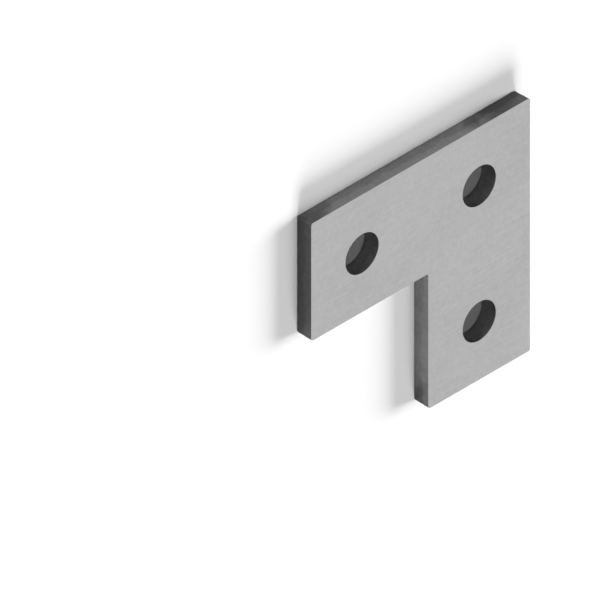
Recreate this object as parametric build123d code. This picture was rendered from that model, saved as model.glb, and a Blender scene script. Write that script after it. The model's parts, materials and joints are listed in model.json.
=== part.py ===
"""Flat angle plate with three M12 bolt holes, a corner fitting that ties its work together at a right angle.

The plate is one piece, blanked from steel plate in a press. Two arms of equal width and length meet at a
square corner. One hole sits where the arms cross, and one sits near the end of each arm, on its centreline.

Blanking and piercing leave the front face's edges drawn down into a small round, the die roll, at the outline
and at the holes. The burr, which falls on the back face, is taken off by a small chamfer.

Frame: the back face, which seats on the work, lies on Z = 0, and +Z points out of the front face.
The origin is the centre of the corner hole. The arms run along +X and +Y. All sizes are in millimetres.
"""

import os

from build123d import *

# Driving dimensions
ARM_WIDTH = 41.3
HOLE_PITCH = 47.6  # from the corner hole to the hole in each arm
END_DISTANCE = 20.6  # from the hole in an arm to that arm's end
THICKNESS = 6.0
HOLE_DIAMETER = 13.5  # takes an M12 bolt with room to adjust
OUTER_CORNER_RADIUS = 0.8  # plan radius at the five outward corners
INNER_CORNER_RADIUS = 0.8  # plan radius where the arms meet
DIE_ROLL = 0.2  # rounding of the front face's outer edges
HOLE_ROLL = 0.15  # rounding of the holes' front edges
DEBURR = 0.2  # chamfer of the back face's outer edges and of the holes' back edges

# What follows from them
CORNER_OFFSET = ARM_WIDTH / 2  # the corner hole lies on the centreline of both arms
ARM_LENGTH = CORNER_OFFSET + HOLE_PITCH + END_DISTANCE
INNER_CORNER = (CORNER_OFFSET, CORNER_OFFSET)
HOLE_CENTRES = [(0, 0), (HOLE_PITCH, 0), (0, HOLE_PITCH)]


def plate_outline():
    """The L-shaped blank: one rectangle for each arm, overlapping at the corner, with eased corners."""
    with BuildSketch() as outline:
        with Locations((-CORNER_OFFSET, -CORNER_OFFSET)):
            Rectangle(ARM_LENGTH, ARM_WIDTH, align=(Align.MIN, Align.MIN))
            Rectangle(ARM_WIDTH, ARM_LENGTH, align=(Align.MIN, Align.MIN))
        corners = outline.vertices().sort_by_distance(INNER_CORNER)
        fillet(corners[1:], OUTER_CORNER_RADIUS)
        inner = outline.vertices().sort_by_distance(INNER_CORNER)[0]
        fillet(inner, INNER_CORNER_RADIUS)
    return outline.sketch


def outline_edges(face):
    """The edges of a face's outer boundary."""
    return face.outer_wire().edges()


def hole_edges(face):
    """The edges of the holes in a face."""
    return ShapeList(edge for wire in face.inner_wires() for edge in wire.edges())


def angle_plate():
    """The plate: the blank, its three holes, the die roll round the front and the deburred back."""
    with BuildPart() as plate:
        add(plate_outline())
        extrude(amount=THICKNESS)
        with Locations(*HOLE_CENTRES):
            Hole(HOLE_DIAMETER / 2)
        front = plate.faces().sort_by(Axis.Z)[-1]
        fillet(outline_edges(front), DIE_ROLL)
        front = plate.faces().sort_by(Axis.Z)[-1]
        fillet(hole_edges(front), HOLE_ROLL)
        back = plate.faces().sort_by(Axis.Z)[0]
        chamfer(outline_edges(back) + hole_edges(back), DEBURR)
    return plate.part


def main():
    """Write the plate's STEP file."""
    os.makedirs("parts", exist_ok=True)
    export_step(angle_plate(), "parts/angle_plate.step")


main()
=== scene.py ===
"""The looks of the flat angle plate: a zinc-coated blank with sheared walls and three punched holes.

The plate's skin is one closed mesh. Its outline and its three holes are loops in the plane, and a section
is carried round each loop: the die roll from the front face, the burnished band, the rougher band where the
steel broke away, and the deburred back edge. Flat fills close the front and the back between the loops.
"""

import json

import bmesh
import bpy
import numpy as np
from mathutils import Matrix, Vector


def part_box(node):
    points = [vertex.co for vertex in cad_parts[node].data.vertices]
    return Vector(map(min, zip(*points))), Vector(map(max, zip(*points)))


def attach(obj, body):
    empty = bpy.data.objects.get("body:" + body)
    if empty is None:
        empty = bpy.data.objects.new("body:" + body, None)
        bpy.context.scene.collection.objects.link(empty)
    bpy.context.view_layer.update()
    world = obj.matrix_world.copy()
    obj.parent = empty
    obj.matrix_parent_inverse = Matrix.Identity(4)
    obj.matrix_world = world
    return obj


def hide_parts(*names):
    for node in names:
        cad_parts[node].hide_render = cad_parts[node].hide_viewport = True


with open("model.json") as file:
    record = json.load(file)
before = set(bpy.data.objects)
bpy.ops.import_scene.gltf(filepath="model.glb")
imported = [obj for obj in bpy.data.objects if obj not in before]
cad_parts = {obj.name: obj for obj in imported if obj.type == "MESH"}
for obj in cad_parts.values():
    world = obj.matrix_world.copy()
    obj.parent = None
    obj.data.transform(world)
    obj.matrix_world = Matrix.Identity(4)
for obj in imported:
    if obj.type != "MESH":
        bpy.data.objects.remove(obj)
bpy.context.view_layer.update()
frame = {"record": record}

# Sizes of the plate, read from the frame, in metres
plate_low, plate_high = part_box("angle_plate")
HALF_WIDTH = -plate_low.x  # the corner hole lies on the centreline of both arms
ARM_END = plate_high.x
THICKNESS = plate_high.z
BORES = [mount for mount in frame["record"]["mounts"] if mount["kind"] == "bore"]

# Edge finish, in metres
CORNER_RADIUS = 0.0008
DIE_ROLL = 0.0002
HOLE_ROLL = 0.00015
DEBURR = 0.0002
PUNCH_DRAW = 0.00002  # how far the front face dips where the punch drew it in
PUNCH_DRAW_WIDTH = 0.0018
RIM = 0.0001  # width of the flat rims that the fills join

# Bands on the sheared walls, in metres but for the share
BURNISHED_SHARE = 0.42  # of the thickness, below the front face
BURNISHED_WAVER = 0.0009  # how far the end of the burnished band wanders up and down
BREAK_FADE = 0.0010  # height over which the burnished band gives way to the broken one
BREAK_RECESS = 0.00006  # how far the broken band stands back from the burnished one
BREAK_ROUGHNESS = 0.00007

# Stretches of the outline's walls darkened with painted shade, where the coat is also rougher
PAINTED_SHADE_CORNER = 0.014  # reach from the outer corner, in metres
PAINTED_SHADE_END = 0.002  # reach in from the arms' ends, in metres
PAINTED_SHADE_FADE = 0.009  # length over which the painted shade deepens, in metres
PAINTED_SHADE_LOSS = 0.6  # of the wall's tone, lost as painted shade where it is deepest

# Fineness of the mesh
RUN_STEP = 0.0004  # spacing along the outline, in metres
HOLE_STEPS = 132
CORNER_STEPS = 8
DIP_ROWS = 6
ROLL_ROWS = 8
WALL_ROWS = 28

# The photograph's frame, in pixels, and what it says of the view
FRAME_SIZE = 600
PIXELS_PER_METRE = 3481
CORNER_HOLE_AT = (464.7, 177.5)  # where the part's origin lies

# Light, at about the level at which a white floor is just white
AMBIENT = 0.10  # strength of the surroundings for what isn't metal, where they show as 1
SUN_STRENGTH = 3.65  # of each light for the floor alone, in watts per square metre facing it
SUN_WIDTH = 0.58  # angle that it fills, in radians
BOX_RADIANCE = 0.4  # of each soft box: its power for each square metre, divided by pi
BOX_SIZE = 1.8  # in metres
BOX_DISTANCE = 3.0  # in metres
LIGHT_RISE = 0.45  # height for each metre away


def left_of(directions):
    """Each plane direction turned a quarter turn counter-clockwise: (x, y) becomes (-y, x)."""
    return np.stack([-directions[..., 1], directions[..., 0]], axis=-1)


def outline_loop():
    """The L's outline, counter-clockwise from above, with its outward normals.

    Each corner is an arc about c = p - r*d + turn*r*left(d), where p is the sharp corner and d the direction
    in. A point on it is c - turn*r*left(d(a)) with d(a) = d*cos(a) + turn*left(d)*sin(a). Straight runs join
    the arcs.
    """
    near, far, inner = -HALF_WIDTH, ARM_END, HALF_WIDTH
    plan = [(near, near), (far, near), (far, inner), (inner, inner), (inner, far), (near, far)]
    corners = np.array(plan)
    ways_in = corners - np.roll(corners, 1, axis=0)
    ways_in = ways_in / np.linalg.norm(ways_in, axis=1, keepdims=True)
    ways_out = np.roll(ways_in, -1, axis=0)
    turns = ways_in[:, 0] * ways_out[:, 1] - ways_in[:, 1] * ways_out[:, 0]
    arc = np.linspace(0, np.pi / 2, CORNER_STEPS + 1)[:, None]
    points, normals = [], []
    for i, (corner, way_in, turn) in enumerate(zip(corners, ways_in, turns)):
        before = corners[i - 1] + CORNER_RADIUS * way_in
        start = corner - CORNER_RADIUS * way_in
        steps = int(round(np.linalg.norm(start - before) / RUN_STEP))
        share = np.arange(1, steps)[:, None] / steps
        points.append(before + share * (start - before))
        normals.append(np.repeat(-left_of(way_in)[None], steps - 1, axis=0))
        centre = start + turn * CORNER_RADIUS * left_of(way_in)
        ways = way_in * np.cos(arc) + turn * left_of(way_in) * np.sin(arc)
        points.append(centre - turn * CORNER_RADIUS * left_of(ways))
        normals.append(-left_of(ways))
    return np.concatenate(points), np.concatenate(normals)


def hole_loop(bore):
    """A hole's rim, clockwise from above, with normals out of the steel, towards the hole's axis."""
    angle = -np.arange(HOLE_STEPS) * 2 * np.pi / HOLE_STEPS
    radial = np.stack([np.cos(angle), np.sin(angle)], axis=-1)
    return np.array(bore["pos_m"][:2]) + bore["dims"]["r_mm"] / 1000 * radial, -radial


def edge_section(roll, draw, draw_width):
    """A sheared edge's section from the front face to the back face.

    Returns each point's reach out of the steel, its height, its rolled share and whether it is on the wall.
    The front face dips by draw*(1 - s)^2 over the draw's width, s being the share of the width from the edge.
    The die roll is a quarter circle, the wall is straight, and the deburred edge is a short slope. The rolled
    share goes from 0 on the flat to 1 at the foot of the die roll, and stays 1 down the wall.
    """
    share = np.linspace(1, 0, DIP_ROWS + 1)[:-1]
    arc = np.linspace(0, np.pi / 2, ROLL_ROWS)
    wall_height = np.linspace(THICKNESS - roll, DEBURR, WALL_ROWS)[1:]
    flat, curve, wall, back = np.zeros(DIP_ROWS), np.zeros(ROLL_ROWS), np.ones(WALL_ROWS - 1), np.zeros(2)
    reach = np.concatenate([-roll - draw_width * share, roll * (np.sin(arc) - 1), 0 * wall,
                            [-DEBURR, -DEBURR - RIM]])
    height = np.concatenate([THICKNESS - draw * (1 - share) ** 2,
                             THICKNESS - draw - (roll - draw) * (1 - np.cos(arc)), wall_height, back])
    rolled = np.concatenate([flat, np.sin(arc), wall, back])
    return reach, height, rolled, np.concatenate([flat, curve, wall, back])


def loop_lengths(points):
    """The length along a closed loop at each of its points, and the loop's whole length."""
    steps = np.linalg.norm(np.roll(points, -1, axis=0) - points, axis=1)
    return np.concatenate([[0], np.cumsum(steps)[:-1]]), steps.sum()


def loop_noise(share, height, cells_round, cell_height, seed):
    """Smooth random values from -1 to 1 over a loop's wall, which close on themselves round the loop.

    Values at the corners of a grid are blended with the weight 3t^2 - 2t^3 in both directions.
    """
    rows = int(np.ceil(THICKNESS / cell_height)) + 2
    grid = np.random.default_rng(seed).uniform(-1, 1, (cells_round, rows))
    column, row = share * cells_round, height / cell_height
    i, j = np.floor(column).astype(int), np.floor(row).astype(int)
    u, v = column - i, row - j
    u, v = u * u * (3 - 2 * u), v * v * (3 - 2 * v)
    i, after = i % cells_round, (i + 1) % cells_round
    lower = grid[i, j] * (1 - u) + grid[after, j] * u
    upper = grid[i, j + 1] * (1 - u) + grid[after, j + 1] * u
    return lower * (1 - v) + upper * v


def sheared_band(points, normals, section, seed):
    """A section carried round a loop: position = loop + normal*reach at the section's height.

    Below the burnished band, whose end wanders up and down, the wall steps back by the recess and takes on a
    fine roughness. Returns grids by name: the places, the wall's own coordinates in metres, and the shares
    that the materials read.
    """
    reach, height, rolled, on_wall = section
    along, length = loop_lengths(points)
    share = np.repeat((along / length)[:, None], len(height), axis=1)
    rise = np.repeat(height[None], len(points), axis=0)
    waver = 0.6 * loop_noise(share, 0 * rise, int(round(length / 0.006)), THICKNESS, seed)
    waver += 0.4 * loop_noise(share, 0 * rise, int(round(length / 0.0018)), THICKNESS, seed + 1)
    burnished_end = THICKNESS * (1 - BURNISHED_SHARE) + BURNISHED_WAVER * waver
    broken = np.clip((burnished_end - rise) / BREAK_FADE, 0, 1)
    rough = loop_noise(share, rise, int(round(length / 0.0011)), 0.0009, seed + 2)
    rough += 0.5 * loop_noise(share, rise, int(round(length / 0.0006)), 0.0005, seed + 3)
    recess = BREAK_RECESS + BREAK_ROUGHNESS * 0.5 * (1 + rough / 1.5)
    out = reach - on_wall * broken * recess
    places = np.empty(share.shape + (3,))
    places[..., :2] = points[:, None] + normals[:, None] * out[..., None]
    places[..., 2] = rise
    return {
        "places": places,
        "wall": np.stack([share * length, rise], axis=-1),
        "broken": broken,
        "rolled": np.repeat(rolled[None], len(points), axis=0),
        # depth of painted shade: -1 leaves a wall without it, and the outline's is set in plate_skin
        "dull": np.full(share.shape, -1.0),
    }


def painted_shade_depth(places):
    """How deep places on the outline's walls lie in the stretches darkened with painted shade.

    The depth is 0 where the fade starts and 1 at its end, and it is held between -1 and 2. With m the larger
    of x and y, one stretch reaches in from the outer corner, where m is least, and one from each arm's end,
    where m is greatest.
    """
    along = places[..., :2].max(axis=-1)
    corner = (PAINTED_SHADE_CORNER + PAINTED_SHADE_FADE - HALF_WIDTH - along) / PAINTED_SHADE_FADE
    end = (along - ARM_END + PAINTED_SHADE_END + PAINTED_SHADE_FADE) / PAINTED_SHADE_FADE
    return np.clip(np.maximum(corner, end), -1, 2)


def band_faces(columns, rows, first):
    """The quads of a band of columns round a loop and rows down its section, facing out of the steel."""
    i, j = np.meshgrid(np.arange(columns), np.arange(rows - 1), indexing="ij")
    after = (i + 1) % columns
    corners = [i * rows + j, i * rows + j + 1, after * rows + j + 1, after * rows + j]
    return first + np.stack([c.ravel() for c in corners], axis=-1)


def joined(bands, name):
    """One of the bands' grids, as one row of values for each vertex of all the bands."""
    return np.concatenate([band[name].reshape(band["broken"].size, -1) for band in bands])


def close_flats(mesh):
    """Fills the front and the back between the outline's open rim and the holes' rims with flat triangles."""
    bm = bmesh.new()
    bm.from_mesh(mesh)
    rims = [edge for edge in bm.edges if edge.is_boundary]
    for facing in (1, -1):
        rim = [edge for edge in rims if (edge.verts[0].co.z > THICKNESS / 2) == (facing > 0)]
        bmesh.ops.triangle_fill(bm, use_beauty=True, edges=rim, normal=(0, 0, facing))
    bm.to_mesh(mesh)
    bm.free()


def plate_skin():
    """The plate's whole surface: the four bands, closed by flat fills on the front and on the back."""
    outline = sheared_band(*outline_loop(), edge_section(DIE_ROLL, 0, RIM), seed=10)
    # Painted shade on the outline's walls, deepest near the outer corner and the arms' ends
    outline["dull"] = painted_shade_depth(outline["places"])
    bands = [outline]
    for number, bore in enumerate(BORES):
        section = edge_section(HOLE_ROLL, PUNCH_DRAW, PUNCH_DRAW_WIDTH)
        bands.append(sheared_band(*hole_loop(bore), section, seed=20 + 10 * number))
    quads, first = [], 0
    for band in bands:
        quads.append(band_faces(*band["broken"].shape, first))
        first += band["broken"].size
    mesh = bpy.data.meshes.new("zinc_plate")
    mesh.from_pydata(joined(bands, "places").tolist(), [], np.concatenate(quads).tolist())
    close_flats(mesh)
    vertex = np.empty(len(mesh.loops), dtype=np.int32)
    mesh.loops.foreach_get("vertex_index", vertex)
    wall = joined(bands, "wall")[vertex].astype(np.float32)
    mesh.uv_layers.new(name="wall").data.foreach_set("uv", wall.ravel())
    for name in ("broken", "rolled", "dull"):
        shares = joined(bands, name).astype(np.float32)
        mesh.attributes.new(name, "FLOAT", "POINT").data.foreach_set("value", shares.ravel())
    mesh.polygons.foreach_set("use_smooth", np.ones(len(mesh.polygons), dtype=bool))
    piece = bpy.data.objects.new("zinc_plate", mesh)
    bpy.context.scene.collection.objects.link(piece)
    return piece


def finish_by_face(piece, coat, sheared):
    """Gives the zinc coat to the flats and the die roll, and the sheared finish to the walls and chamfers."""
    piece.data.materials.append(coat)
    piece.data.materials.append(sheared)
    facings, middles = np.empty((2, len(piece.data.polygons) * 3), np.float32)
    piece.data.polygons.foreach_get("normal", facings)
    piece.data.polygons.foreach_get("center", middles)
    wall = (facings[2::3] < 0.3) & (middles[2::3] > DEBURR / 10)
    piece.data.polygons.foreach_set("material_index", wall.astype(np.int32))


def fill_in(tree, node, values):
    """Sets a node's inputs, given by name or number, or links those whose value is another node's output."""
    for key, value in values.items():
        socket = node.inputs[key]
        if isinstance(value, bpy.types.NodeSocket):
            tree.links.new(value, socket)
        else:
            socket.default_value = value
    return node


def add(tree, kind, values):
    """A node of a kind in a tree, with its inputs filled in."""
    return fill_in(tree, tree.nodes.new(kind), values)


def maths(tree, operation, *values):
    """The output of one Math node."""
    node = add(tree, "ShaderNodeMath", dict(enumerate(values)))
    node.operation = operation
    return node.outputs[0]


def plus(tree, value, change, amount):
    """A value with an amount of a change added to it."""
    return maths(tree, "MULTIPLY_ADD", change, amount, value)


def spread(tree, value, low, high, start=0.0, end=1.0):
    """A value carried from the range low to high onto start to end, and held there at both ends."""
    node = add(tree, "ShaderNodeMapRange", {"Value": value, "From Min": low, "From Max": high})
    return fill_in(tree, node, {"To Min": start, "To Max": end}).outputs[0]


def stored(tree, name):
    """A share that the mesh keeps for each vertex."""
    node = tree.nodes.new("ShaderNodeAttribute")
    node.attribute_name = name
    return node.outputs["Fac"]


def swing(tree, place, scale, detail):
    """A noise over a place as a value from -1 to 1."""
    noise = add(tree, "ShaderNodeTexNoise", {"Vector": place, "Scale": scale, "Detail": detail})
    return spread(tree, noise.outputs["Fac"], 0.3, 0.7, -1.0, 1.0)


def drawn_out(tree, place, scales):
    """A place scaled by its own amount along each direction, so that a noise over it is drawn out in one."""
    return add(tree, "ShaderNodeMapping", {"Vector": place, "Scale": scales}).outputs[0]


def new_group(name, inputs, outputs):
    """An empty shader node group with named inputs and outputs, and its own ends."""
    tree = bpy.data.node_groups.new(name, "ShaderNodeTree")
    for socket_name, kind in inputs:
        tree.interface.new_socket(socket_name, in_out="INPUT", socket_type=kind)
    for socket_name, kind in outputs:
        tree.interface.new_socket(socket_name, in_out="OUTPUT", socket_type=kind)
    return tree, tree.nodes.new("NodeGroupInput").outputs, tree.nodes.new("NodeGroupOutput").inputs


def zinc_crystals():
    """Group: the coat's crystals as a flat tone for each, from -1 to 1, and a finer grain from -1 to 1."""
    inputs = [("Place", "NodeSocketVector"), ("Crystals per metre", "NodeSocketFloat")]
    outputs = [("Tone", "NodeSocketFloat"), ("Grain", "NodeSocketFloat")]
    tree, given, out = new_group("zinc crystals", inputs, outputs)
    warp = add(tree, "ShaderNodeTexNoise", {"Vector": given["Place"], "Scale": 900.0, "Detail": 2.0})
    shift = add(tree, "ShaderNodeVectorMath", {0: warp.outputs["Color"], 1: (0.0005, 0.0005, 0.0005)})
    shift.operation = "MULTIPLY"
    moved = add(tree, "ShaderNodeVectorMath", {0: given["Place"], 1: shift.outputs[0]})
    sizes = {"Vector": moved.outputs[0], "Scale": given["Crystals per metre"]}
    cells = add(tree, "ShaderNodeTexVoronoi", sizes)
    tone = add(tree, "ShaderNodeSeparateColor", {0: cells.outputs["Color"]}).outputs[0]
    tree.links.new(maths(tree, "MULTIPLY_ADD", tone, 2.0, -1.0), out["Tone"])
    tree.links.new(swing(tree, given["Place"], 3600.0, 2.0), out["Grain"])
    return tree


def use_group(tree, group, values):
    """The outputs of a group placed in a tree, with its inputs filled in."""
    node = tree.nodes.new("ShaderNodeGroup")
    node.node_tree = group
    return fill_in(tree, node, values).outputs


def new_material(name):
    """A material with an empty tree but its shader and output, and the tree."""
    material = bpy.data.materials.new(name)
    material.use_nodes = True
    tree = material.node_tree
    tree.nodes.clear()
    shader = tree.nodes.new("ShaderNodeBsdfPrincipled")
    output = tree.nodes.new("ShaderNodeOutputMaterial")
    tree.links.new(shader.outputs[0], output.inputs[0])
    return material, tree, shader


def zinc_coat(crystals):
    """The coated faces: light satin grey, with faint crystals, clouds and the lines of the rolled plate."""
    material, tree, shader = new_material("zinc coat")
    place = tree.nodes.new("ShaderNodeTexCoord").outputs["Object"]
    crystal = use_group(tree, crystals, {"Place": place, "Crystals per metre": 800.0})
    cloud = swing(tree, place, 45.0, 3.0)
    lines = swing(tree, drawn_out(tree, place, (50.0, 2600.0, 50.0)), 1.0, 2.0)
    tone = plus(tree, 0.5, crystal["Tone"], 0.16)
    tone = plus(tree, tone, crystal["Grain"], 0.24)
    tone = plus(tree, tone, cloud, 0.14)
    tone = plus(tree, tone, lines, 0.16)
    tree.links.new(plus(tree, 0.398, tone, 0.10), shader.inputs["Base Color"])
    rough = plus(tree, 0.30, crystal["Tone"], 0.012)
    rough = plus(tree, rough, cloud, 0.02)
    rough = plus(tree, rough, stored(tree, "rolled"), 0.16)
    tree.links.new(rough, shader.inputs["Roughness"])
    relief = plus(tree, lines, crystal["Grain"], 0.7)
    bump = add(tree, "ShaderNodeBump", {"Strength": 0.2, "Distance": 0.00001, "Height": relief})
    tree.links.new(bump.outputs[0], shader.inputs["Normal"])
    shader.inputs["Metallic"].default_value = 1.0
    return material


def sheared_steel(crystals):
    """The walls: darker than the faces, partly for the rougher cut steel and partly as painted shade, with
    upright streaks where burnished and grains where broken.

    The stretches of painted shade have an uneven edge. They lose a share of the tone and some of the gloss.
    """
    material, tree, shader = new_material("sheared steel")
    wall = tree.nodes.new("ShaderNodeUVMap")
    wall.uv_map = "wall"
    place = tree.nodes.new("ShaderNodeTexCoord").outputs["Object"]
    crystal = use_group(tree, crystals, {"Place": place, "Crystals per metre": 1500.0})
    streaks = swing(tree, drawn_out(tree, wall.outputs[0], (2600.0, 160.0, 1.0)), 1.0, 3.0)
    patches = swing(tree, place, 160.0, 3.0)
    grains = maths(tree, "MULTIPLY", maths(tree, "ADD", crystal["Grain"], crystal["Tone"]), 0.5)
    burnished = plus(tree, 0.64, streaks, 0.20)
    rough_break = plus(tree, 0.46, grains, 0.26)
    broken = stored(tree, "broken")
    tone = plus(tree, burnished, broken, maths(tree, "SUBTRACT", rough_break, burnished))
    tone = plus(tree, tone, patches, 0.10)
    # Painted shade: near the outer corner and the arms' ends the walls lose a share of their tone and grow
    # rougher
    dull = spread(tree, plus(tree, stored(tree, "dull"), patches, 0.45), 0.0, 1.0)
    # The walls' grey is set well below the coat's, in part as painted shade for walls turned from the light
    grey = plus(tree, 0.142, tone, 0.172)
    kept = plus(tree, 1.0, dull, -PAINTED_SHADE_LOSS)
    tree.links.new(maths(tree, "MULTIPLY", grey, kept), shader.inputs["Base Color"])
    rough = plus(tree, 0.38, broken, 0.2)
    tree.links.new(plus(tree, rough, dull, 0.08), shader.inputs["Roughness"])
    relief = plus(tree, streaks, broken, maths(tree, "SUBTRACT", grains, streaks))
    bump = add(tree, "ShaderNodeBump", {"Strength": 0.35, "Distance": 0.00003, "Height": relief})
    tree.links.new(bump.outputs[0], shader.inputs["Normal"])
    shader.inputs["Metallic"].default_value = 1.0
    return material


def white_floor():
    """The plain white floor that the plate lies on."""
    corners = [(-1.5, -1.5, 0), (1.5, -1.5, 0), (1.5, 1.5, 0), (-1.5, 1.5, 0)]
    mesh = bpy.data.meshes.new("floor")
    mesh.from_pydata(corners, [], [(0, 1, 2, 3)])
    floor = bpy.data.objects.new("floor", mesh)
    bpy.context.scene.collection.objects.link(floor)
    material, _, shader = new_material("white floor")
    shader.inputs["Base Color"].default_value = (0.97, 0.97, 0.97, 1)
    shader.inputs["Roughness"].default_value = 1.0
    shader.inputs["Specular IOR Level"].default_value = 0.0
    mesh.materials.append(material)
    floor.location.z = -0.00005


def studio_world():
    """Even white surroundings, which show white to the camera and the metal and light the floor softly."""
    world = bpy.data.worlds.new("studio")
    bpy.context.scene.world = world
    world.use_nodes = True
    tree = world.node_tree
    background = tree.nodes["Background"]
    background.inputs["Color"].default_value = (1, 1, 1, 1)
    path = tree.nodes.new("ShaderNodeLightPath").outputs
    seen = maths(tree, "MAXIMUM", path["Is Camera Ray"], path["Is Transmission Ray"])
    seen = maths(tree, "MAXIMUM", seen, path["Is Glossy Ray"])
    tree.links.new(spread(tree, seen, 0.0, 1.0, AMBIENT, 1.0), background.inputs["Strength"])


def light_from(towards, name, light):
    """A light placed at the soft boxes' distance in a direction, and turned to face the plate."""
    lamp = bpy.data.objects.new(name, light)
    bpy.context.scene.collection.objects.link(lamp)
    direction = Vector(towards).normalized()
    lamp.location = BOX_DISTANCE * direction
    lamp.rotation_mode = "QUATERNION"
    lamp.rotation_quaternion = direction.to_track_quat("Z", "Y")
    return lamp


def soft_box(towards, name):
    """A square soft box, which lights the floor and which the steel reflects."""
    light = bpy.data.lights.new(name, "AREA")
    light.shape = "SQUARE"
    light.size = BOX_SIZE
    light.energy = BOX_RADIANCE * np.pi * BOX_SIZE ** 2
    light_from(towards, name, light)


def floor_light(towards, name):
    """A wide even light that whitens the floor and casts the soft shadow, but isn't seen in the steel."""
    light = bpy.data.lights.new(name, "SUN")
    light.energy = SUN_STRENGTH
    light.angle = SUN_WIDTH
    light_from(towards, name, light).visible_glossy = False


def photo_camera():
    """A parallel view down a cube's diagonal, rolled so that +Y runs straight down the picture."""
    camera = bpy.data.cameras.new("photo camera")
    camera.type = "ORTHO"
    camera.ortho_scale = FRAME_SIZE / PIXELS_PER_METRE
    camera.clip_start, camera.clip_end = 0.01, 10
    back = Vector((1, -1, 1)).normalized()
    right = Vector((-1, 0, 1)).normalized()
    up = back.cross(right)
    across = (FRAME_SIZE / 2 - CORNER_HOLE_AT[0]) / PIXELS_PER_METRE
    upward = (CORNER_HOLE_AT[1] - FRAME_SIZE / 2) / PIXELS_PER_METRE
    holder = bpy.data.objects.new("photo camera", camera)
    place = right * across + up * upward + back * 0.6
    holder.matrix_world = Matrix.Translation(place) @ Matrix((right, up, back)).transposed().to_4x4()
    bpy.context.scene.collection.objects.link(holder)
    bpy.context.scene.camera = holder


def main():
    """Builds the plate's skin, its finishes, the floor, the lights and the camera."""
    crystals = zinc_crystals()
    plate = plate_skin()
    finish_by_face(plate, zinc_coat(crystals), sheared_steel(crystals))
    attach(plate, "root")
    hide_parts("angle_plate")
    white_floor()
    studio_world()
    sides = {"behind the corner": (-1, 0, LIGHT_RISE), "beyond the arms": (0, 1, LIGHT_RISE)}
    for side, towards in sides.items():
        soft_box(towards, "soft box " + side)
        floor_light(towards, "floor light " + side)
    photo_camera()
    bpy.context.scene.view_settings.view_transform = "Standard"


main()
